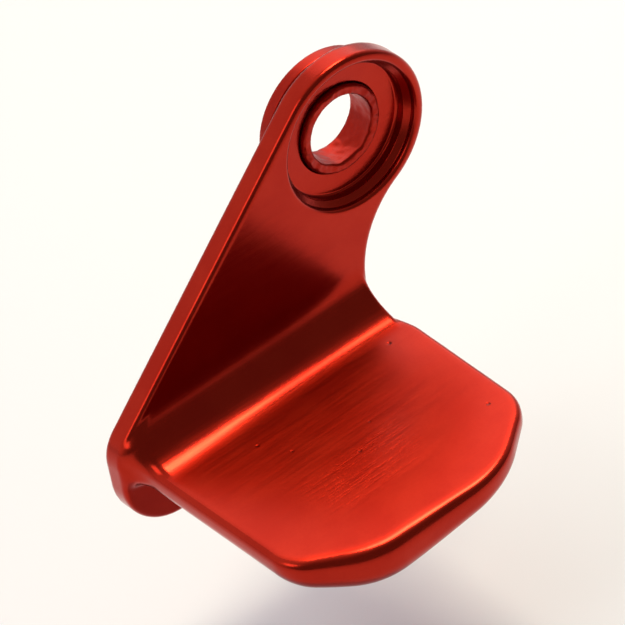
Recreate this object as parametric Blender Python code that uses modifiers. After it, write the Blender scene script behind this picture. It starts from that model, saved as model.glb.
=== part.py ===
"""Foot lever of a motorcycle kickstand, at rest with its pad level.

A one-piece arm, eye and foot pad turns on a flanged pivot sleeve that a bolt clamps to the bracket.
Metres. The origin is on the pivot axis, on the sleeve's rear face. The pivot runs along Y, the pad
stands out towards -Y and faces +Z, and the arm leaves the eye downwards towards -X.
"""

import math

import bmesh
import bpy
from mathutils import Matrix, Vector

MM = 0.001

# Depths behind the arm's front face
FRONT_DEPTH = 5.75 * MM
ARM_THICKNESS = 2.8 * MM
CUP_DEPTH = 2.4 * MM
LEDGE_DEPTH = 0.85 * MM
SLEEVE_NOSE_DEPTH = 1.7 * MM
FLANGE_THICKNESS = 1.6 * MM
FLANGE_GAP = 0.15 * MM

# Eye and pivot, as radii about the Y axis
EYE_RADIUS = 9.9 * MM
CUP_RADIUS = 8.6 * MM
LEDGE_RADIUS = 8.0 * MM
HUB_RADIUS = 8.3 * MM
SLEEVE_RADIUS = 5.25 * MM
SLEEVE_CLEARANCE = 0.1 * MM
BORE_RADIUS = 4.2 * MM
SLEEVE_CHAMFER = 0.2 * MM

# Arm outline, seen from the front
LEFT_EDGE_SLOPE = math.radians(42.6)
LEFT_SIDE = -37.05 * MM
LEFT_CORNER_RADIUS = 5.0 * MM
LOBE_CENTRE = Vector((-30.4, -25.7)) * MM
WAIST_CENTRE = Vector((10.52, -19.45)) * MM
RIGHT_CORNER_RADIUS = 1.6 * MM
LOBE_ROOT_RADIUS = 1.5 * MM
ARM_EDGE_ROUND = 0.45 * MM

# Foot pad: distances forward of the arm's front face
PAD_TOP = -22.3 * MM
PAD_LENGTH = 31.6 * MM
PAD_SIDE_THICKNESS = 2.8 * MM
PAD_ROOT_SWELL = 0.9 * MM
PAD_NOSE_SWELL = 2.8 * MM
SWELL_SKEW = 0.55
SWELL_POWER = 1.4
ARM_BELOW_PAD = 0.4 * MM
UNDERSIDE_RINGS = (0.85, 0.65, 0.4, 0.2)
ROUND_STEPS = 6

# Plan of the pad: X, distance forward, and the radius of each rounded corner, in millimetres
PAD_PLAN = [
    (-35.0, -2.0, 0.0),
    (-35.2, 25.8, 4.0),
    (-27.2, 31.6, 9.0),
    (-9.7, 31.6, 10.5),
    (-1.25, 24.8, 4.5),
    (-0.75, 6.0, 8.0),
    (-2.0, 0.6, 9.0),
    (-2.0, -2.0, 0.0),
]

# Fillet between the arm's front face and the pad's top; its plan flares out to the arm's left side
FILLET_RADIUS = 5.85 * MM
FILLET_SINK = 0.05 * MM
FILLET_DEPTH_IN_PAD = 1.3 * MM
FILLET_INSET = 0.5 * MM
FILLET_PLAN = [
    (-36.7, -2.0, 0.0),
    (-36.7, 0.5, 0.4),
    (-34.6, 2.6, 2.5),
    (-34.6, 8.0, 0.0),
    (-1.4, 8.0, 0.0),
    (-1.4, 5.0, 3.0),
    (-2.5, 0.6, 3.0),
    (-2.5, -2.0, 0.0),
]

CIRCLE_STEPS = 72
OVERLAP = 1.0 * MM

LEVER_COLOUR = (0.46, 0.022, 0.012, 1.0)
SLEEVE_COLOUR = (0.40, 0.020, 0.012, 1.0)
ROUGHNESS = 0.28

PIVOT_TO_WORLD = Matrix.Rotation(math.radians(90), 4, "X")


def clear_scene():
    for obj in list(bpy.data.objects):
        bpy.data.objects.remove(obj)


def new_collection(name):
    collection = bpy.data.collections.new(name)
    bpy.context.scene.collection.children.link(collection)
    return collection


def metal(name, colour):
    material = bpy.data.materials.new(name)
    material.use_nodes = True
    shader = material.node_tree.nodes["Principled BSDF"]
    shader.inputs["Base Color"].default_value = colour
    shader.inputs["Metallic"].default_value = 1.0
    shader.inputs["Roughness"].default_value = ROUGHNESS
    return material


def arc(centre, radius, start, end):
    """Points from start to end, in degrees, about as fine as the full circle's steps."""
    count = max(3, round(abs(end - start) / 360 * CIRCLE_STEPS))
    angles = [math.radians(start + (end - start) * i / count) for i in range(count + 1)]
    return [centre + radius * Vector((math.cos(a), math.sin(a))) for a in angles]


def rounded(corners):
    """An outline through the corners (x, y, radius), each rounded by an arc of its radius."""
    points = []
    for i, (x, y, radius) in enumerate(corners):
        corner = Vector((x, y))
        before = (Vector(corners[i - 1][:2]) - corner).normalized()
        after = (Vector(corners[(i + 1) % len(corners)][:2]) - corner).normalized()
        if not radius:
            points.append(corner)
            continue
        half = before.angle(after) / 2
        centre = corner + (before + after).normalized() * radius / math.sin(half)
        first = corner + before * radius / math.tan(half) - centre
        turn = 180 - 2 * math.degrees(half)
        turn *= 1 if before.cross(after) < 0 else -1
        start = math.degrees(math.atan2(first.y, first.x))
        points += arc(centre, radius, start, start + turn)
    return points


def arm_outline():
    """The arm, eye and lobe in X and Z, anticlockwise from the lower right corner."""
    slope = math.degrees(LEFT_EDGE_SLOPE)
    waist_radius = WAIST_CENTRE.length - EYE_RADIUS
    right_side = WAIST_CENTRE.x - waist_radius
    bottom = PAD_TOP - PAD_SIDE_THICKNESS - PAD_ROOT_SWELL - ARM_BELOW_PAD
    lobe_radius = LOBE_CENTRE.x - LEFT_SIDE
    waist_angle = math.degrees(math.atan2(-WAIST_CENTRE.y, -WAIST_CENTRE.x))

    # The left corner's centre is one corner radius inside both the sloping edge and the left side.
    across = Vector((math.sin(LEFT_EDGE_SLOPE), -math.cos(LEFT_EDGE_SLOPE)))
    corner_x = LEFT_SIDE + LEFT_CORNER_RADIUS
    corner_z = (across.x * corner_x + EYE_RADIUS - LEFT_CORNER_RADIUS) / -across.y
    left_corner = Vector((corner_x, corner_z))

    # The arc where the lobe runs into the arm's lower edge touches both of them.
    right_corner = Vector((right_side - RIGHT_CORNER_RADIUS, bottom + RIGHT_CORNER_RADIUS))
    drop = LOBE_CENTRE.y - (bottom - LOBE_ROOT_RADIUS)
    reach = math.sqrt((lobe_radius + LOBE_ROOT_RADIUS) ** 2 - drop**2)
    root = LOBE_CENTRE + Vector((reach, -drop))
    lobe_end = 360 - math.degrees(math.atan2(drop, reach))
    points = arc(right_corner, RIGHT_CORNER_RADIUS, -90, 0)
    points += arc(WAIST_CENTRE, waist_radius, 180, waist_angle)
    points += arc(Vector((0, 0)), EYE_RADIUS, waist_angle - 180, slope + 90)[1:]
    points += arc(left_corner, LEFT_CORNER_RADIUS, slope + 90, 180)
    points += arc(LOBE_CENTRE, lobe_radius, 180, lobe_end)
    points += arc(root, LOBE_ROOT_RADIUS, lobe_end - 180, 90)[1:]
    return points


def fillet_profile():
    """The fillet from the side: forward of the front face, and Z. It sinks a little into arm and pad."""
    reach = FILLET_RADIUS - FILLET_SINK
    centre = Vector((reach, PAD_TOP + reach))
    inside = -ARM_THICKNESS / 2
    buried = PAD_TOP - FILLET_DEPTH_IN_PAD
    points = arc(centre, FILLET_RADIUS, 270, 180)
    points += [Vector((inside, centre.y)), Vector((inside, buried)), Vector((reach, buried))]
    return points


def fillet_front():
    """The space that the fillet may fill, from the front: the arm's sloping edge bounds it."""
    right = FILLET_PLAN[-1][0] * MM + OVERLAP
    left = FILLET_PLAN[0][0] * MM - OVERLAP
    low = PAD_TOP - FILLET_DEPTH_IN_PAD - OVERLAP
    high = PAD_TOP + FILLET_RADIUS + OVERLAP
    inset = EYE_RADIUS - FILLET_INSET
    slope_at = [
        Vector(((math.cos(LEFT_EDGE_SLOPE) * z - inset) / math.sin(LEFT_EDGE_SLOPE), z))
        for z in (high, PAD_TOP - OVERLAP / 2)
    ]
    return [Vector((left, low)), Vector((right, low)), Vector((right, high))] + slope_at


def plan_outline(corners):
    """Rounded corners given as X, distance forward and radius, in world X and Y."""
    return rounded([(x * MM, -y * MM - FRONT_DEPTH, radius * MM) for x, y, radius in corners])


def outward_normals(outline):
    normals = []
    for i in range(len(outline)):
        along = outline[(i + 1) % len(outline)] - outline[i - 1]
        normals.append(Vector((along.y, -along.x)).normalized())
    return normals


def pad_thickness(point):
    """Thinnest along the sides; the underside swells between them, most at the nose and to the left."""
    left = PAD_PLAN[0][0] * MM
    right = PAD_PLAN[-1][0] * MM
    across = min(max((point.x - left) / (right - left), 0.0), 1.0)
    forward = min(max(-(point.y + FRONT_DEPTH) / PAD_LENGTH, 0.0), 1.0)
    swell = math.sin(math.pi * across**SWELL_SKEW) ** SWELL_POWER
    return PAD_SIDE_THICKNESS + swell * (PAD_ROOT_SWELL + (PAD_NOSE_SWELL - PAD_ROOT_SWELL) * forward)


def extruded(name, points, thickness, placing, collection):
    """A flat outline extruded evenly about its plane, as a mesh whose caps are welded on."""
    curve = bpy.data.curves.new(name, "CURVE")
    curve.dimensions = "2D"
    curve.fill_mode = "BOTH"
    curve.extrude = thickness / 2
    line = curve.splines.new("POLY")
    line.use_cyclic_u = True
    line.points.add(len(points) - 1)
    for knot, point in zip(line.points, points):
        knot.co = (*point, 0, 1)
    source = bpy.data.objects.new(name + "_outline", curve)
    source.matrix_world = placing
    collection.objects.link(source)
    bpy.context.view_layer.update()
    mesh = bpy.data.meshes.new_from_object(source.evaluated_get(bpy.context.evaluated_depsgraph_get()))
    shape = bmesh.new()
    shape.from_mesh(mesh)
    bmesh.ops.remove_doubles(shape, verts=shape.verts, dist=0.001 * MM)
    bmesh.ops.recalc_face_normals(shape, faces=shape.faces)
    shape.to_mesh(mesh)
    shape.free()
    obj = bpy.data.objects.new(name, mesh)
    obj.matrix_world = source.matrix_world
    collection.objects.link(obj)
    bpy.data.objects.remove(source)
    return obj


def turned(name, profile, collection):
    """A profile of radius and depth behind the front face, turned about the pivot axis."""
    mesh = bpy.data.meshes.new(name)
    points = [(radius, 0, FRONT_DEPTH - depth) for radius, depth in profile]
    ring = [(i, (i + 1) % len(points)) for i in range(len(points))]
    edges = [(a, b) for a, b in ring if points[a][0] or points[b][0]]
    mesh.from_pydata(points, edges, [])
    obj = bpy.data.objects.new(name, mesh)
    obj.matrix_world = PIVOT_TO_WORLD
    collection.objects.link(obj)
    screw = obj.modifiers.new("turn", "SCREW")
    screw.steps = screw.render_steps = CIRCLE_STEPS
    screw.use_merge_vertices = True
    screw.merge_threshold = 0.00001
    return obj


def bevel(obj, width, segments):
    modifier = obj.modifiers.new("rounded edges", "BEVEL")
    modifier.width = width
    modifier.segments = segments
    modifier.limit_method = "ANGLE"
    modifier.angle_limit = math.radians(40)


def boolean(obj, other, operation):
    modifier = obj.modifiers.new(f"{operation.lower()} {other.name}", "BOOLEAN")
    modifier.operation = operation
    modifier.object = other
    modifier.solver = "EXACT"


def helper(obj):
    obj.hide_render = True
    obj.display_type = "WIRE"
    return obj


def smooth(obj):
    obj.data.shade_smooth()
    obj.data.set_sharp_from_angle(angle=math.radians(30))


def make_arm(collection):
    middle = Matrix.Translation((0, -FRONT_DEPTH + ARM_THICKNESS / 2, 0))
    arm = extruded("lever", arm_outline(), ARM_THICKNESS, middle @ PIVOT_TO_WORLD, collection)
    bevel(arm, ARM_EDGE_ROUND, 2)
    return arm


def make_pad(helpers):
    """A loft of rings: the flat top, a full round rim as thick as the pad there, and the underside."""
    outline = plan_outline(PAD_PLAN)
    normals = outward_normals(outline)
    shape = bmesh.new()
    rings = []
    for step in range(ROUND_STEPS + 1):
        angle = math.pi / 2 - math.pi * step / ROUND_STEPS
        ring = []
        for point, normal in zip(outline, normals):
            radius = pad_thickness(point) / 2
            x, y = point - normal * radius * (1 - math.cos(angle))
            ring.append(shape.verts.new((x, y, PAD_TOP - radius * (1 - math.sin(angle)))))
        rings.append(ring)
    centre = sum(outline, Vector((0, 0))) / len(outline)
    lowest = [Vector(vert.co[:2]) for vert in rings[-1]]
    for scale in UNDERSIDE_RINGS:
        spots = [centre + (spot - centre) * scale for spot in lowest]
        rings.append([shape.verts.new((*spot, PAD_TOP - pad_thickness(spot))) for spot in spots])
    for upper, lower in zip(rings, rings[1:]):
        for i in range(len(outline)):
            shape.faces.new((upper[i - 1], upper[i], lower[i], lower[i - 1]))
    shape.faces.new(rings[0])
    shape.faces.new(reversed(rings[-1]))
    bmesh.ops.recalc_face_normals(shape, faces=shape.faces)
    mesh = bpy.data.meshes.new("pad")
    shape.to_mesh(mesh)
    shape.free()
    pad = bpy.data.objects.new("pad", mesh)
    helpers.objects.link(pad)
    return helper(pad)


def make_fillet(helpers):
    """The fillet's side profile, kept only inside the pad's plan and the arm's sloping edge."""
    right = FILLET_PLAN[-1][0] * MM
    left = FILLET_PLAN[0][0] * MM
    to_side = Matrix(((0, 0, -1, (left + right) / 2), (-1, 0, 0, -FRONT_DEPTH), (0, 1, 0, 0), (0, 0, 0, 1)))
    fillet = extruded("fillet", fillet_profile(), right - left + 2 * OVERLAP, to_side, helpers)
    above = Matrix.Translation((0, 0, PAD_TOP))
    plan_solid = extruded("fillet_plan", plan_outline(FILLET_PLAN), 4 * FILLET_RADIUS, above, helpers)
    ahead = Matrix.Translation((0, -FRONT_DEPTH, 0)) @ PIVOT_TO_WORLD
    front_solid = extruded("fillet_front", fillet_front(), 4 * FILLET_RADIUS, ahead, helpers)
    boolean(fillet, helper(plan_solid), "INTERSECT")
    boolean(fillet, helper(front_solid), "INTERSECT")
    return helper(fillet)


def make_lever(collection, helpers):
    """Arm, pad and hub joined into one forging, then the cup and the sleeve's hole cut through it."""
    lever = make_arm(collection)
    boolean(lever, make_pad(helpers), "UNION")
    boolean(lever, make_fillet(helpers), "UNION")

    hub_back = FRONT_DEPTH - FLANGE_THICKNESS - FLANGE_GAP
    hub_front = (CUP_DEPTH + ARM_THICKNESS) / 2
    hub_profile = [(HUB_RADIUS, hub_front), (HUB_RADIUS, hub_back), (0, hub_back), (0, hub_front)]
    hub = turned("hub", hub_profile, helpers)
    boolean(lever, helper(hub), "UNION")

    hole = SLEEVE_RADIUS + SLEEVE_CLEARANCE
    steps = [
        (CUP_RADIUS, -OVERLAP),
        (CUP_RADIUS, LEDGE_DEPTH),
        (LEDGE_RADIUS, LEDGE_DEPTH),
        (LEDGE_RADIUS, CUP_DEPTH),
        (hole, CUP_DEPTH),
        (hole, hub_back + OVERLAP),
        (0, hub_back + OVERLAP),
        (0, -OVERLAP),
    ]
    boolean(lever, helper(turned("cup", steps, helpers)), "DIFFERENCE")
    lever.data.materials.append(metal("red anodised lever", LEVER_COLOUR))
    smooth(lever)
    return lever


def make_sleeve(collection):
    """Shouldered tube: its nose stands in the cup, and its rear flange backs the eye's hub."""
    shoulder = FRONT_DEPTH - FLANGE_THICKNESS
    profile = [
        (SLEEVE_RADIUS - SLEEVE_CHAMFER, SLEEVE_NOSE_DEPTH),
        (SLEEVE_RADIUS, SLEEVE_NOSE_DEPTH + SLEEVE_CHAMFER),
        (SLEEVE_RADIUS, shoulder),
        (HUB_RADIUS, shoulder),
        (HUB_RADIUS, FRONT_DEPTH - SLEEVE_CHAMFER),
        (HUB_RADIUS - SLEEVE_CHAMFER, FRONT_DEPTH),
        (BORE_RADIUS, FRONT_DEPTH),
        (BORE_RADIUS, SLEEVE_NOSE_DEPTH),
    ]
    sleeve = turned("pivot_sleeve", profile, collection)
    sleeve.data.materials.append(metal("red anodised sleeve", SLEEVE_COLOUR))
    smooth(sleeve)
    return sleeve


def main():
    clear_scene()
    parts = new_collection("kickstand_lever")
    helpers = new_collection("cutters")
    helpers.hide_render = True
    make_lever(parts, helpers)
    make_sleeve(parts)


main()
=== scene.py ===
"""Looks of the kickstand foot lever: finely meshed, red anodised metal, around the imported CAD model.

Shapes are worked out in millimetres in the CAD frame: X to the right, Y to the rear, Z up, with the
pivot along Y. "Forward" is the distance in front of the arm's front face, and "depth" the distance
behind it.
"""

import math

import bmesh
import bpy
import numpy as np
from mathutils import Matrix, Vector, noise


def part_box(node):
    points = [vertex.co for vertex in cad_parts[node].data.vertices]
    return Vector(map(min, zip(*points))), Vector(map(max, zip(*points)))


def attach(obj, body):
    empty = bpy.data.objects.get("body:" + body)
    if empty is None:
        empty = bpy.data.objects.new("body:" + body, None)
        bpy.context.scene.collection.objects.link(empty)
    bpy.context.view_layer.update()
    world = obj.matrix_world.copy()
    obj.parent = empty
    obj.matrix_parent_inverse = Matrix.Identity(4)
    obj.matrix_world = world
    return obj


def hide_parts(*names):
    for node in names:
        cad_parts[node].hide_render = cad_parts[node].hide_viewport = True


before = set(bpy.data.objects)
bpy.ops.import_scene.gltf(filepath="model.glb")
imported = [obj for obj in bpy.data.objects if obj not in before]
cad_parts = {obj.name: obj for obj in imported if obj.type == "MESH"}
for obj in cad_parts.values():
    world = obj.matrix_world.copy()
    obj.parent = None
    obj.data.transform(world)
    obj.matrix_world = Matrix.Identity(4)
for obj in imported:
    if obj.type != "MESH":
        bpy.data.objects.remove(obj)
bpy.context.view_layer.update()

M_PER_MM = 0.001
MM_PER_M = 1000
lever_low, lever_high = (corner / M_PER_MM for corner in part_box("lever"))
sleeve_low, sleeve_high = (corner / M_PER_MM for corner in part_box("pivot_sleeve"))

# Eye, cup and sleeve. Radii are about the pivot axis.
SLEEVE_NOSE_DEPTH = 1.7
FRONT_Y = sleeve_low.y - SLEEVE_NOSE_DEPTH
SLEEVE_REAR_DEPTH = sleeve_high.y - FRONT_Y
HUB_REAR_DEPTH = lever_high.y - FRONT_Y
EYE_RADIUS = lever_high.z
FLANGE_RADIUS = sleeve_high.x
FLANGE_GAP = 0.15
CUP_RADIUS = 8.6
LEDGE_RADIUS = 8.0
LEDGE_DEPTH = 0.85
CUP_DEPTH = 2.4
HOLE_RADIUS = 5.35
SLEEVE_RADIUS = 5.25
BORE_RADIUS = 4.2
HUB_EDGE_ROUND = 0.35
HUB_ROOT_ROUND = 0.5

# Arm
ARM_THICKNESS = 2.8
ARM_BOTTOM = -26.4
LEFT_SIDE = lever_low.x
LEFT_EDGE_SLOPE = math.radians(42.6)
LEFT_CORNER_RADIUS = 5.0
LOBE_RADIUS = 6.65
LOBE_CENTRE_X = LEFT_SIDE + LOBE_RADIUS
LOBE_CENTRE_Z = lever_low.z + LOBE_RADIUS
LOBE_ROOT_RADIUS = 1.5
WAIST_CENTRE = (10.52, -19.45)
RIGHT_CORNER_RADIUS = 1.6
FRONT_EDGE_ROUND = 0.6
REAR_EDGE_ROUND = 0.45

# Foot pad
PAD_LEFT = -35.2
PAD_RIGHT = -2.0
PAD_TOP = -22.3
PAD_LENGTH = FRONT_Y - lever_low.y
PAD_NOSE_FALL = 0.18
PAD_FALL_START = 18.0
PAD_LEFT_THICKNESS = 2.9
PAD_RIGHT_THICKNESS = 2.4
PAD_ROOT_SWELL = 0.9
PAD_NOSE_SWELL = 2.75
SWELL_SKEW = 0.55
SWELL_POWER = 1.4
RIM_POWER_ABOVE = 3.8
RIM_POWER_BELOW = 2.1
UNDERSIDE_FILLET = 0.8
TOP_FILLET = 5.85
FILLET_LEFT_ROUND = 1.7
FILLET_RIGHT_ROUND = 0.6
FILLET_DEPTH_IN_PAD = 1.0
FLARE_LIMIT = 0.25

# Plan of the pad: X, distance forward and corner radius, anticlockwise from the left root
PAD_PLAN = [
    (-38.05, -1.4, 0.2),
    (PAD_RIGHT, -1.4, 0.2),
    (PAD_RIGHT, 0.6, 9.0),
    (-0.75, 6.0, 8.0),
    (-1.25, 24.8, 6.0),
    (-9.7, PAD_LENGTH, 12.5),
    (-27.2, PAD_LENGTH, 11.0),
    (PAD_LEFT, 25.8, 5.0),
    (-35.3, 1.1, 4.0),
    (-38.05, -1.0, 0.2),
]

# What cuts the cup: a ring with the cup's shape, and a plain core that clears the ring's middle
RING_RADIUS = 1.0
RING_FRONT = -1.5
RING_REAR = HUB_REAR_DEPTH + 1.0
CORE_RADIUS = 1.4
CORE_FRONT = -1.4
CORE_REAR = HUB_REAR_DEPTH + 0.9
CORE_AXIS_RADIUS = 0.0001

# Unevenness of the sleeve's mouth: how far in it fades out, and the most that it moves the metal
LIP_REACH = 0.8
BORE_REACH = 0.6
BORE_FADE = 0.4
LUMPS_PER_MM = 0.75
NICKS_PER_MM = 1.6
MOST_INWARDS = 0.16
MOST_BACKWARDS = 0.35

# Fineness. SLIVER is in metres, as it is used on finished meshes.
NET_STEP = 0.26
TURN_STEPS = 288
PROFILE_STEP = 0.08
SLIVER = 5e-6
SHARP_ANGLE = math.radians(35)


def unit(angle):
    return np.array((math.cos(angle), math.sin(angle)))


class Outline:
    """A closed anticlockwise outline: arcs about pulleys, and the straight tangents between them.

    A pulley is a centre and a signed radius, negative where the outline bends inwards round it.
    """

    def __init__(self, pulleys):
        self.lines = []
        self.arcs = []
        normals = []
        for (x0, y0, r0), (x1, y1, r1) in zip(pulleys, pulleys[1:] + pulleys[:1]):
            gap = np.array((x1 - x0, y1 - y0))
            distance = math.hypot(*gap)
            lean = math.asin(max(-1.0, min(1.0, (r0 - r1) / distance)))
            normal = math.atan2(gap[1], gap[0]) - math.pi / 2 + lean
            start = np.array((x0, y0)) + r0 * unit(normal)
            end = np.array((x1, y1)) + r1 * unit(normal)
            self.lines.append((start, end, normal))
            normals.append(normal)
        for (x, y, r), before, after in zip(pulleys, normals[-1:] + normals[:-1], normals):
            sweep = (after - before) % math.tau if r > 0 else (before - after) % math.tau
            if sweep < math.tau - 1e-6:
                self.arcs.append((x, y, r, before if r > 0 else after, sweep))

    def distance(self, x, y):
        """Signed distance to the outline, negative inside."""
        best = np.full(np.broadcast(x, y).shape, np.inf)
        for start, end, normal in self.lines:
            length = math.hypot(*(end - start))
            if length < 1e-9:
                continue
            across = (x - start[0]) * math.cos(normal) + (y - start[1]) * math.sin(normal)
            along = (y - start[1]) * math.cos(normal) - (x - start[0]) * math.sin(normal)
            valid = (along >= 0) & (along <= length)
            best = np.where(valid & (abs(across) < abs(best)), across, best)
        for cx, cy, radius, start, sweep in self.arcs:
            side = math.copysign(1, radius)
            away = side * (np.hypot(x - cx, y - cy) - abs(radius))
            turned = (np.arctan2(side * (y - cy), side * (x - cx)) - start) % math.tau
            valid = (turned <= sweep + 1e-9) | (turned >= math.tau - 1e-9)
            best = np.where(valid & (abs(away) < abs(best)), away, best)
        return best

    def points(self, arc_step, line_step):
        """Points along the outline, about a step apart."""
        found = []
        for (cx, cy, radius, start, sweep), (line_start, line_end, _) in zip(self.arcs, self.lines):
            count = max(2, math.ceil(abs(radius) * sweep / arc_step))
            turns = [start + sweep * i / count for i in range(count + 1)]
            if radius < 0:
                turns.reverse()
            found += [np.array((cx, cy)) + radius * unit(turn) for turn in turns]
            count = max(1, math.ceil(math.hypot(*(line_end - line_start)) / line_step))
            found += [line_start + (line_end - line_start) * i / count for i in range(1, count)]
        return found


def rounded(corners):
    """The outline through the corners (x, y, radius), each rounded by its radius."""
    pulleys = []
    for i, (x, y, radius) in enumerate(corners):
        corner = Vector((x, y))
        before = (Vector(corners[i - 1][:2]) - corner).normalized()
        after = (Vector(corners[(i + 1) % len(corners)][:2]) - corner).normalized()
        half = before.angle(after) / 2
        centre = corner + (before + after).normalized() * radius / math.sin(half)
        convex = before.x * after.y - before.y * after.x < 0
        pulleys.append((centre.x, centre.y, radius if convex else -radius))
    return Outline(pulleys)


def arm_outline():
    """The eye, arm and lobe in X and Z."""
    waist_radius = math.hypot(*WAIST_CENTRE) - EYE_RADIUS
    right_side = WAIST_CENTRE[0] - waist_radius
    corner_x = LEFT_SIDE + LEFT_CORNER_RADIUS
    rise = math.sin(LEFT_EDGE_SLOPE) * corner_x + EYE_RADIUS - LEFT_CORNER_RADIUS
    corner_z = rise / math.cos(LEFT_EDGE_SLOPE)
    drop = LOBE_CENTRE_Z - (ARM_BOTTOM - LOBE_ROOT_RADIUS)
    reach = math.sqrt((LOBE_RADIUS + LOBE_ROOT_RADIUS) ** 2 - drop**2)
    return Outline(
        [
            (0.0, 0.0, EYE_RADIUS),
            (corner_x, corner_z, LEFT_CORNER_RADIUS),
            (LOBE_CENTRE_X, LOBE_CENTRE_Z, LOBE_RADIUS),
            (LOBE_CENTRE_X + reach, ARM_BOTTOM - LOBE_ROOT_RADIUS, -LOBE_ROOT_RADIUS),
            (right_side - RIGHT_CORNER_RADIUS, ARM_BOTTOM + RIGHT_CORNER_RADIUS, RIGHT_CORNER_RADIUS),
            (*WAIST_CENTRE, -waist_radius),
        ]
    )


ARM = arm_outline()
PAD = rounded(PAD_PLAN)


def filleted(a, b, radius):
    """Union of two solids, with a fillet where they meet."""
    hollow = np.hypot(np.maximum(radius - a, 0), np.maximum(radius - b, 0))
    return np.maximum(radius, np.minimum(a, b)) - hollow


def eased(a, b, radius):
    """Intersection of two solids, with a rounded edge where they cross."""
    edge = np.hypot(np.maximum(radius + a, 0), np.maximum(radius + b, 0))
    return np.minimum(-radius, np.maximum(a, b)) + edge


def pad_thickness(x, forward):
    """Thin along the sides; the underside swells between them, most at the nose and left of the middle."""
    across = np.clip((x - PAD_LEFT) / (PAD_RIGHT - PAD_LEFT), 0, 1)
    along = np.clip(forward / PAD_LENGTH, 0, 1)
    swell = np.sin(math.pi * across**SWELL_SKEW) ** SWELL_POWER
    sides = PAD_LEFT_THICKNESS + (PAD_RIGHT_THICKNESS - PAD_LEFT_THICKNESS) * across
    return sides + swell * (PAD_ROOT_SWELL + (PAD_NOSE_SWELL - PAD_ROOT_SWELL) * along)


def pad_top(forward):
    """Flat, falling a little towards the nose."""
    beyond = np.maximum(forward - PAD_FALL_START, 0) / (PAD_LENGTH - PAD_FALL_START)
    return PAD_TOP - PAD_NOSE_FALL * beyond**2


def pad_distance(x, forward, z):
    """A pad with a full rim as round as it is thick, squarer above than below."""
    half = pad_thickness(x, forward) / 2
    out = np.maximum(PAD.distance(x, forward) + half, 0)
    up = z - (pad_top(forward) - half)
    power = np.where(up > 0, RIM_POWER_ABOVE, RIM_POWER_BELOW)
    pad = (out**power + abs(up) ** power) ** (1 / power) - half
    return eased(pad, LEFT_SIDE + FLARE_LIMIT - x, FRONT_EDGE_ROUND)


def top_fillet(x, forward, z, outline):
    """The large fillet between the arm's front face and the pad's top, inside the arm and the pad's plan."""
    hollow = filleted(forward, z - PAD_TOP, TOP_FILLET)
    sides = eased(outline, PAD.distance(x, forward), FRONT_EDGE_ROUND)
    leftness = np.clip(x / LEFT_SIDE, 0, 1) ** 3
    end_round = FILLET_RIGHT_ROUND + (FILLET_LEFT_ROUND - FILLET_RIGHT_ROUND) * leftness
    fillet = eased(hollow, sides, end_round)
    ends = np.maximum(forward - TOP_FILLET, -ARM_THICKNESS / 2 - forward)
    heights = np.maximum(PAD_TOP - FILLET_DEPTH_IN_PAD - z, z - PAD_TOP - TOP_FILLET)
    return np.maximum(fillet, np.maximum(ends, heights))


def hub_distance(x, forward, z):
    """The round hub that stands behind the eye."""
    wall = np.hypot(x, z) - FLANGE_RADIUS
    behind = -ARM_THICKNESS - forward
    stub = eased(wall, -forward - HUB_REAR_DEPTH, HUB_EDGE_ROUND)
    root = filleted(wall, -behind, HUB_ROOT_ROUND)
    return np.maximum(np.maximum(stub, root), forward + ARM_THICKNESS / 2)


def lever_distance(x, y, z):
    """The whole lever before its cup is cut, as a signed distance in millimetres."""
    forward = FRONT_Y - y
    outline = ARM.distance(x, z)
    pad = pad_distance(x, forward, z)
    face = eased(filleted(forward, pad, UNDERSIDE_FILLET), outline, FRONT_EDGE_ROUND)
    arm = eased(face, -ARM_THICKNESS - forward, REAR_EDGE_ROUND)
    body = np.minimum(np.minimum(arm, pad), top_fillet(x, forward, z, outline))
    return np.minimum(body, hub_distance(x, forward, z))


def corner_shift(array, corner):
    """The values at one corner of every cell of a grid."""
    return array[tuple(slice(c, n - 1 + c) for c, n in zip(corner, array.shape))]


def surface_net(distance, low, high, step):
    """Points and quads of the surface where distance is zero: one point in every cell that it crosses."""
    axes = [np.arange(a - 2 * step, b + 3 * step, step) for a, b in zip(low, high)]
    field = distance(*np.meshgrid(*axes, indexing="ij", sparse=True))
    inside = field < 0
    corners = [(i, j, k) for i in (0, 1) for j in (0, 1) for k in (0, 1)]
    count = sum(corner_shift(inside, corner).astype(np.int8) for corner in corners)
    crossed = (count > 0) & (count < len(corners))
    number = np.full(crossed.shape, -1)
    number[crossed] = np.arange(crossed.sum())
    cells = np.argwhere(crossed)

    total = np.zeros(cells.shape)
    hits = np.zeros(len(cells))
    for along in np.eye(3, dtype=int):
        for corner in np.array(corners):
            if corner @ along:
                continue
            here = field[tuple((cells + corner).T)]
            there = field[tuple((cells + corner + along).T)]
            cut = (here < 0) != (there < 0)
            share = np.where(cut, here / np.where(cut, here - there, 1), 0)
            total += cut[:, None] * (corner + share[:, None] * along)
            hits += cut
    points = (cells + total / hits[:, None]) * step + [axis[0] for axis in axes]

    quads = []
    for axis in range(3):
        along, across, over = (np.eye(3, dtype=int)[(axis + i) % 3] for i in range(3))
        first = inside[tuple(slice(0, n - a) for n, a in zip(inside.shape, along))]
        second = inside[tuple(slice(a, n) for n, a in zip(inside.shape, along))]
        edges = np.argwhere(first != second)
        ring = [edges, edges - across, edges - across - over, edges - over]
        quad = np.stack([number[tuple(cell.T)] for cell in ring], axis=1)
        inwards = ~first[tuple(edges.T)]
        quad[inwards] = quad[inwards, ::-1]
        quads.append(quad)
    return points, np.concatenate(quads)


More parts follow.
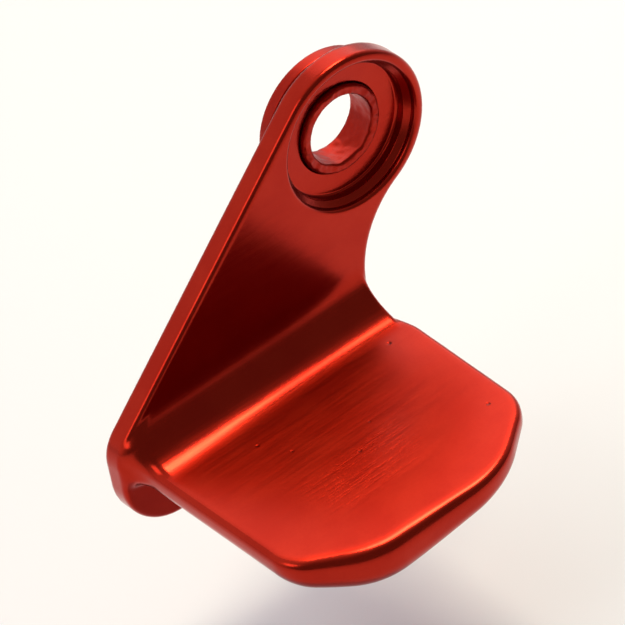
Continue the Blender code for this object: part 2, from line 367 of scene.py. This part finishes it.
def settled(points, distance, rounds):
    """The points moved onto the surface along its slope."""
    nudge = 0.001
    for _ in range(rounds):
        value = distance(*points.T)
        rises = [distance(*(points + nudge * way).T) - value for way in np.eye(3)]
        slope = np.stack(rises, axis=1) / nudge
        share = value / np.maximum((slope**2).sum(axis=1), 0.1)
        points = points - np.clip(share[:, None] * slope, -NET_STEP, NET_STEP)
    return points


def relaxed(points, quads, distance, rounds):
    """The points spread more evenly over the surface."""
    pairs = np.concatenate([quads[:, [i, (i + 1) % 4]] for i in range(4)])
    count = sum(np.bincount(pairs[:, end], minlength=len(points)) for end in (0, 1))
    for _ in range(rounds):
        total = np.zeros(points.shape)
        for axis in range(3):
            total[:, axis] += np.bincount(pairs[:, 0], points[pairs[:, 1], axis], len(points))
            total[:, axis] += np.bincount(pairs[:, 1], points[pairs[:, 0], axis], len(points))
        points = settled((points + total / count[:, None]) / 2, distance, 1)
    return points


def new_object(name, points, faces):
    """An object from points in millimetres and faces of one length."""
    mesh = bpy.data.meshes.new(name)
    mesh.from_pydata((np.asarray(points) * M_PER_MM).tolist(), [], np.asarray(faces).tolist())
    obj = bpy.data.objects.new(name, mesh)
    bpy.context.scene.collection.objects.link(obj)
    return obj


def turned(name, profile, lumps=None):
    """A closed profile of (radius, depth) points turned about the pivot axis; lumps may move its points."""
    profile = np.array(profile)
    angles = np.arange(TURN_STEPS) * math.tau / TURN_STEPS
    radius, depth = (np.repeat(profile[:, i][None], TURN_STEPS, axis=0) for i in (0, 1))
    if lumps:
        radius, depth = lumps(radius, depth, angles)
    x = radius * np.cos(angles)[:, None]
    z = radius * np.sin(angles)[:, None]
    points = np.stack([x, FRONT_Y + depth, z], axis=2).reshape(-1, 3)
    count = len(profile)
    i, j = np.meshgrid(np.arange(TURN_STEPS), np.arange(count), indexing="ij")
    after, beyond = (i + 1) % TURN_STEPS, (j + 1) % count
    ring = [i * count + j, i * count + beyond, after * count + beyond, after * count + j]
    return new_object(name, points, np.stack(ring, axis=2).reshape(-1, 4))


def baked(obj):
    """The object's modifiers applied to its mesh."""
    graph = bpy.context.evaluated_depsgraph_get()
    mesh = bpy.data.meshes.new_from_object(obj.evaluated_get(graph))
    obj.modifiers.clear()
    obj.data = mesh


def clean(obj):
    """Merges the slivers that a Boolean leaves, which would collapse in a single-precision file."""
    mesh = bmesh.new()
    mesh.from_mesh(obj.data)
    bmesh.ops.remove_doubles(mesh, verts=mesh.verts, dist=SLIVER)
    bmesh.ops.dissolve_degenerate(mesh, edges=mesh.edges, dist=SLIVER)
    loose_edges = [edge for edge in mesh.edges if not edge.link_faces]
    bmesh.ops.delete(mesh, geom=loose_edges, context="EDGES")
    loose_verts = [vert for vert in mesh.verts if not vert.link_faces]
    bmesh.ops.delete(mesh, geom=loose_verts, context="VERTS")
    mesh.to_mesh(obj.data)
    mesh.free()


def signed_volume(obj):
    """Volume within the mesh, negative if its faces look inwards."""
    obj.data.calc_loop_triangles()
    points = np.array([vert.co for vert in obj.data.vertices])
    faces = np.array([triangle.vertices for triangle in obj.data.loop_triangles])
    return np.linalg.det(points[faces]).sum() / 6


def outwards(obj):
    """Turns every face round if the solid is inside out."""
    if signed_volume(obj) < 0:
        obj.data.flip_normals()
    return obj


def cup_profile():
    """The ring cut from the eye: its mouth, the sloping ledge, the cup and the sleeve's hole."""
    corners = [
        (RING_RADIUS, RING_FRONT, 0.05),
        (RING_RADIUS, RING_REAR, 0.05),
        (HOLE_RADIUS + 1.25, RING_REAR, 0.05),
        (HOLE_RADIUS, HUB_REAR_DEPTH - 0.25, 0.25),
        (HOLE_RADIUS, CUP_DEPTH, 0.2),
        (LEDGE_RADIUS, CUP_DEPTH, 0.35),
        (LEDGE_RADIUS, LEDGE_DEPTH + 0.45, 0.2),
        (CUP_RADIUS + 0.05, LEDGE_DEPTH - 0.05, 0.14),
        (CUP_RADIUS + 0.05, 0.1, 0.5),
        (CUP_RADIUS + 1.6, -0.28, 0.05),
        (CUP_RADIUS + 1.6, RING_FRONT, 0.05),
    ]
    return rounded(corners[::-1]).points(PROFILE_STEP, 10.0)


def core_profile():
    """What the ring leaves standing in the middle."""
    return [
        (CORE_AXIS_RADIUS, CORE_FRONT),
        (CORE_RADIUS, CORE_FRONT),
        (CORE_RADIUS, CORE_REAR),
        (CORE_AXIS_RADIUS, CORE_REAR),
    ]


def make_lever():
    """The lever: a fine net over its distance function, with its cup and hole cut by turned shapes."""
    points, quads = surface_net(lever_distance, lever_low, lever_high, NET_STEP)
    points = relaxed(settled(points, lever_distance, 2), quads, lever_distance, 3)
    points = settled(points, lever_distance, 2)
    lever = new_object("forged_lever", points, quads)
    ring = outwards(turned("cup_cutter", cup_profile()))
    core = outwards(turned("core_cutter", core_profile()))
    for tool in (ring, core):
        cut = lever.modifiers.new("cut", "BOOLEAN")
        cut.operation = "DIFFERENCE"
        cut.solver = "EXACT"
        cut.object = tool
    baked(lever)
    clean(lever)
    for tool in (ring, core):
        bpy.data.objects.remove(tool)
    return lever


def rough_bore(radius, depth, angles):
    """Pushes the bore unevenly inwards, and the lip of the nose unevenly back."""
    lip = np.clip(1 - (depth - SLEEVE_NOSE_DEPTH) / LIP_REACH, 0, 1)
    bore = np.clip((BORE_RADIUS + BORE_REACH - radius) / BORE_FADE, 0, 1)
    lump = np.empty(radius.shape)
    nick = np.empty(radius.shape)
    for i, j in np.ndindex(*radius.shape):
        x, z = radius[i, j] * unit(angles[i])
        around = Vector((x, depth[i, j], z))
        lump[i, j] = noise.noise(around * LUMPS_PER_MM)
        nick[i, j] = noise.noise(around * NICKS_PER_MM)
    lump = 0.5 + 0.5 * lump
    inwards = bore * (0.13 * lump + 0.05 * nick)
    backwards = lip * (0.24 * lump + 0.1 * nick)
    return radius - np.clip(inwards, 0, MOST_INWARDS), depth + np.clip(backwards, 0, MOST_BACKWARDS)


def make_sleeve():
    """The pivot sleeve: nose, barrel and rear flange, with rounded edges."""
    shoulder = HUB_REAR_DEPTH + FLANGE_GAP
    corners = [
        (BORE_RADIUS, SLEEVE_NOSE_DEPTH, 0.3),
        (SLEEVE_RADIUS, SLEEVE_NOSE_DEPTH, 0.38),
        (SLEEVE_RADIUS, shoulder, 0.1),
        (FLANGE_RADIUS, shoulder, 0.2),
        (FLANGE_RADIUS, SLEEVE_REAR_DEPTH, 0.35),
        (BORE_RADIUS, SLEEVE_REAR_DEPTH, 0.3),
    ]
    profile = rounded(corners).points(PROFILE_STEP, 0.25)
    return outwards(turned("turned_sleeve", profile, rough_bore))


def smooth(obj):
    """Shades the object smooth, but for its sharp edges."""
    obj.data.shade_smooth()
    obj.data.set_sharp_from_angle(angle=SHARP_ANGLE)


# Materials

LEVER_RED = (0.43, 0.018, 0.006)
DEEP_RED = (0.39, 0.013, 0.004)
SLEEVE_RED = (0.31, 0.009, 0.004)
SEAL = {"Coat Weight": 0.13, "Coat Roughness": 0.22, "Coat IOR": 1.5}

# Relief, in millimetres
LEVER_STREAKS = 0.0022
LEVER_GRAIN = 0.004
SLEEVE_STREAKS = 0.002
SLEEVE_GRAIN = 0.012
WAVES_PER_STREAK = 4
SCRATCH_DEPTH = 0.006
PIT_DEPTH = 0.09

# Pits of the pad's top: X, distance forward and radius
PITS = [
    (-4.8, 6.4, 0.34),
    (-4.25, 22.3, 0.30),
    (-24.8, 8.3, 0.26),
    (-22.9, 11.9, 0.22),
    (-18.1, 17.5, 0.26),
    (-14.4, 14.6, 0.20),
]

# The scratched patch of the pad's top: its middle in X and forward, and how far it reaches each way
SCRATCHED_MIDDLE = (-19.5, 20.0)
SCRATCHED_REACH = (9.0, 5.0)


def node(tree, kind, inputs=(), **settings):
    """A new node with its settings; an input is a value or another node's output."""
    made = tree.nodes.new(kind)
    for name, value in settings.items():
        setattr(made, name, value)
    for name, value in dict(inputs).items():
        if isinstance(value, bpy.types.NodeSocket):
            tree.links.new(value, made.inputs[name])
        else:
            made.inputs[name].default_value = value
    return made


def math_node(tree, operation, a, b):
    return node(tree, "ShaderNodeMath", {0: a, 1: b}, operation=operation).outputs[0]


def remapped(tree, value, low, high, to_low, to_high):
    inputs = {"Value": value, "From Min": low, "From Max": high, "To Min": to_low, "To Max": to_high}
    return node(tree, "ShaderNodeMapRange", inputs, interpolation_type="SMOOTHSTEP").outputs["Result"]


def scaled(tree, vector, scale):
    return node(tree, "ShaderNodeMapping", {"Vector": vector, "Scale": scale}).outputs[0]


def noise_node(tree, vector, scale, detail):
    inputs = {"Vector": vector, "Scale": scale, "Detail": detail}
    return node(tree, "ShaderNodeTexNoise", inputs).outputs["Fac"]


def mixed(tree, share, low, high):
    """A colour between two, by the share of the second."""
    inputs = {"Factor": share, "A": (*low, 1), "B": (*high, 1)}
    return node(tree, "ShaderNodeMix", inputs, data_type="RGBA").outputs["Result"]


def new_material(name):
    """A material with its node tree and its shader."""
    material = bpy.data.materials.new(name)
    material.use_nodes = True
    return material, material.node_tree, material.node_tree.nodes["Principled BSDF"]


def scratches(tree, in_mm, streak):
    """Height of the fine scratches, which fade out round the middle of their patch."""
    axes = node(tree, "ShaderNodeSeparateXYZ", {"Vector": in_mm})
    middle = (SCRATCHED_MIDDLE[0], FRONT_Y - SCRATCHED_MIDDLE[1])
    nearness = []
    for axis, centre, reach in zip("XY", middle, SCRATCHED_REACH):
        off = math_node(tree, "SUBTRACT", axes.outputs[axis], centre)
        off = math_node(tree, "ABSOLUTE", off, 0.0)
        nearness.append(remapped(tree, off, 0.5 * reach, reach, 1.0, 0.0))
    near = math_node(tree, "MULTIPLY", *nearness)
    fine = remapped(tree, streak, 0.38, 0.52, -SCRATCH_DEPTH, 0.0)
    return math_node(tree, "MULTIPLY", fine, near)


def pit(tree, in_mm, x, forward, radius):
    """Height of one small pit in the pad's top."""
    inputs = {0: in_mm, 1: (x, FRONT_Y - forward, PAD_TOP)}
    away = node(tree, "ShaderNodeVectorMath", inputs, operation="DISTANCE").outputs["Value"]
    return remapped(tree, away, 0.15 * radius, radius, -PIT_DEPTH, 0.0)


def anodised(name, bright, roughness, level_dulling, streaks, grains, worn):
    """Red anodised metal: clouded dye, fine brushing along X, a little grain, and a thin clear seal.

    Faces that look straight up are duller by level_dulling, and a worn one has scratches and pits.
    """
    material, tree, shader = new_material(name)
    shader.inputs["Metallic"].default_value = 1.0
    for socket, value in SEAL.items():
        shader.inputs[socket].default_value = value

    in_mm = scaled(tree, node(tree, "ShaderNodeTexCoord").outputs["Object"], (MM_PER_M,) * 3)
    along_x = scaled(tree, in_mm, (0.22, 5.0, 5.0))
    cloud = noise_node(tree, in_mm, 0.16, 3.0)
    grain = noise_node(tree, in_mm, 3.2, 3.0)
    streak = noise_node(tree, along_x, 1.0, 4.0)
    wave = noise_node(tree, along_x, 0.16, 2.0)

    dye = remapped(tree, cloud, 0.3, 0.7, 0.0, 1.0)
    mottle = remapped(tree, grain, 0.35, 0.7, 0.0, 0.35)
    share = math_node(tree, "SUBTRACT", dye, mottle)
    tree.links.new(mixed(tree, share, DEEP_RED, bright), shader.inputs["Base Color"])

    normal = node(tree, "ShaderNodeTexCoord").outputs["Normal"]
    upwards = node(tree, "ShaderNodeSeparateXYZ", {"Vector": normal}).outputs["Z"]
    satin = remapped(tree, upwards, 0.96, 0.998, 0.0, level_dulling)
    brushed = remapped(tree, streak, 0.3, 0.7, roughness - 0.03, roughness + 0.05)
    tree.links.new(math_node(tree, "ADD", satin, brushed), shader.inputs["Roughness"])

    heights = [
        math_node(tree, "MULTIPLY", streak, streaks),
        math_node(tree, "MULTIPLY", wave, WAVES_PER_STREAK * streaks),
        math_node(tree, "MULTIPLY", grain, grains),
    ]
    if worn:
        heights.append(scratches(tree, in_mm, streak))
        heights += [pit(tree, in_mm, *place) for place in PITS]
    height = heights[0]
    for more in heights[1:]:
        height = math_node(tree, "ADD", height, more)
    bump = node(tree, "ShaderNodeBump", {"Height": height, "Distance": M_PER_MM})
    tree.links.new(bump.outputs["Normal"], shader.inputs["Normal"])
    return material


def plain(name, colour, roughness):
    """A pale matt surface with a faint unevenness."""
    material, tree, shader = new_material(name)
    shader.inputs["Roughness"].default_value = roughness
    cloud = noise_node(tree, node(tree, "ShaderNodeTexCoord").outputs["Object"], 6.0, 2.0)
    paler = tuple(min(1.0, channel * 1.02) for channel in colour)
    tree.links.new(mixed(tree, cloud, colour, paler), shader.inputs["Base Color"])
    return material


# Stage

CAMERA_AZIMUTH = math.radians(-31.9)
CAMERA_ELEVATION = math.radians(39.2)
CAMERA_ROLL = math.radians(-11.9)
CAMERA_DISTANCE = 0.8
CAMERA_TARGET = Vector((-12.64, -10.83, -13.46)) * M_PER_MM
FRAME_WIDTH = 0.06644
SENSOR = 36.0

FLOOR_COLOUR = (0.84, 0.87, 0.95)
FLOOR_ROUGHNESS = 0.8
FLOOR_CLEARANCE = 0.5
WORLD_COLOUR = (1.0, 0.975, 0.94, 1)
FRONT_FILL = 0.2
BACK_FILL = 0.85

# Lights: name, direction from the object, distance, size, radiance and colour
LIGHTS = [
    ("key", (0.37, 0.158, 0.898), 0.35, (0.09, 0.14), 20.0, (1.0, 0.88, 0.64)),
    ("fill", (0.5, 0.66, 0.56), 0.6, (0.5, 0.4), 1.1, (1.0, 0.93, 0.84)),
    ("left", (-0.7, -0.02, 0.71), 0.4, (0.16, 0.2), 2.0, (1.0, 0.93, 0.85)),
]


def make_camera():
    """A long lens, so that the perspective is mild."""
    data = bpy.data.cameras.new("camera")
    data.sensor_width = SENSOR
    data.lens = SENSOR * CAMERA_DISTANCE / FRAME_WIDTH
    data.clip_start = 0.01
    data.clip_end = 20.0
    camera = bpy.data.objects.new("camera", data)
    bpy.context.scene.collection.objects.link(camera)
    across, ahead = math.sin(CAMERA_AZIMUTH), -math.cos(CAMERA_AZIMUTH)
    flat = math.cos(CAMERA_ELEVATION)
    back = Vector((across * flat, ahead * flat, math.sin(CAMERA_ELEVATION)))
    level = back.to_track_quat("Z", "Y").to_matrix().to_4x4()
    turn = Matrix.Rotation(CAMERA_ROLL, 4, "Z")
    camera.matrix_world = Matrix.Translation(CAMERA_TARGET + back * CAMERA_DISTANCE) @ level @ turn
    bpy.context.scene.camera = camera


def area_light(name, towards, distance, size, radiance, colour):
    """A soft box in a direction from the object, as bright as a surface of that radiance."""
    data = bpy.data.lights.new(name, "AREA")
    data.shape = "RECTANGLE"
    data.size, data.size_y = size
    data.energy = radiance * math.pi * size[0] * size[1]
    data.color = colour
    light = bpy.data.objects.new(name, data)
    bpy.context.scene.collection.objects.link(light)
    direction = Vector(towards).normalized()
    light.location = CAMERA_TARGET + direction * distance
    light.rotation_mode = "QUATERNION"
    light.rotation_quaternion = direction.to_track_quat("Z", "Y")


def make_stage():
    """The floor, which the lever clears at every angle, and the lights round it."""
    reach = math.hypot(lever_low.x, lever_low.z) + FLOOR_CLEARANCE
    bpy.ops.mesh.primitive_plane_add(size=6, location=(0, 0, -reach * M_PER_MM))
    floor = bpy.context.object
    floor.name = "floor"
    floor.data.materials.append(plain("pale floor", FLOOR_COLOUR, FLOOR_ROUGHNESS))

    world = bpy.data.worlds.new("studio")
    bpy.context.scene.world = world
    world.use_nodes = True
    tree = world.node_tree
    direction = node(tree, "ShaderNodeTexCoord").outputs["Generated"]
    backwards = node(tree, "ShaderNodeVectorMath", {0: direction, 1: (0, 1, 0)}, operation="DOT_PRODUCT")
    brightness = remapped(tree, backwards.outputs["Value"], -0.5, 0.5, FRONT_FILL, BACK_FILL)
    background = tree.nodes["Background"]
    background.inputs["Color"].default_value = WORLD_COLOUR
    tree.links.new(brightness, background.inputs["Strength"])

    for light in LIGHTS:
        area_light(*light)
    bpy.context.scene.view_settings.view_transform = "Standard"


# Pieces

lever_finish = anodised(
    "lever anodising",
    LEVER_RED,
    roughness=0.21,
    level_dulling=0.18,
    streaks=LEVER_STREAKS,
    grains=LEVER_GRAIN,
    worn=True,
)
lever_piece = make_lever()
smooth(lever_piece)
lever_piece.data.materials.clear()
lever_piece.data.materials.append(lever_finish)
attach(lever_piece, "lever")
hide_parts("lever")

sleeve_finish = anodised(
    "sleeve anodising",
    SLEEVE_RED,
    roughness=0.34,
    level_dulling=0.0,
    streaks=SLEEVE_STREAKS,
    grains=SLEEVE_GRAIN,
    worn=False,
)
sleeve_piece = make_sleeve()
smooth(sleeve_piece)
sleeve_piece.data.materials.append(sleeve_finish)
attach(sleeve_piece, "pivot_sleeve")
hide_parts("pivot_sleeve")

make_stage()
make_camera()
